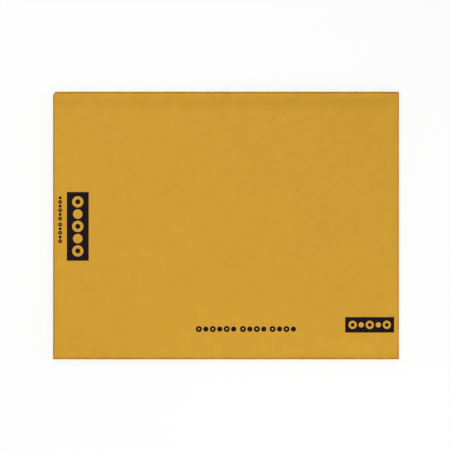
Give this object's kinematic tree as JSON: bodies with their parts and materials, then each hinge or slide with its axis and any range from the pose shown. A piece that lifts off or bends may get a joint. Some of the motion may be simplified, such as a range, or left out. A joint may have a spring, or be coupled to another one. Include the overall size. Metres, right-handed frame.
{
  "type": "padded envelope",
  "caption": "Padded mailing envelope of golden kraft paper lined with air-bubble film, welded along its sides, with an adhesive flap folded onto its back.",
  "frame": {"origin": "on the surface that the envelope lies on, under the centre of its outline", "axes": "+Z up through the printed front, +X from the folded closed end to the flap's fold, +Y across the bag; seen from above, the print reads with +X to the right and +Y up"},
  "size_m": [0.2794, 0.216, 0.0078],
  "materials": {
    "kraft_paper": "smooth golden kraft paper, dull, with printed blocks in a brown-black ink",
    "bubble_film": "clear, slightly milky polyethylene film",
    "adhesive": "tacky pale hot-melt adhesive",
    "release_paper": "white release paper with a smooth silicone face"
  },
  "bodies": {
    "root": {"kraft_cover": "kraft_paper", "bubble_lining": "bubble_film", "adhesive_strip": "adhesive", "release_liner": "release_paper"}
  },
  "joints": []
}
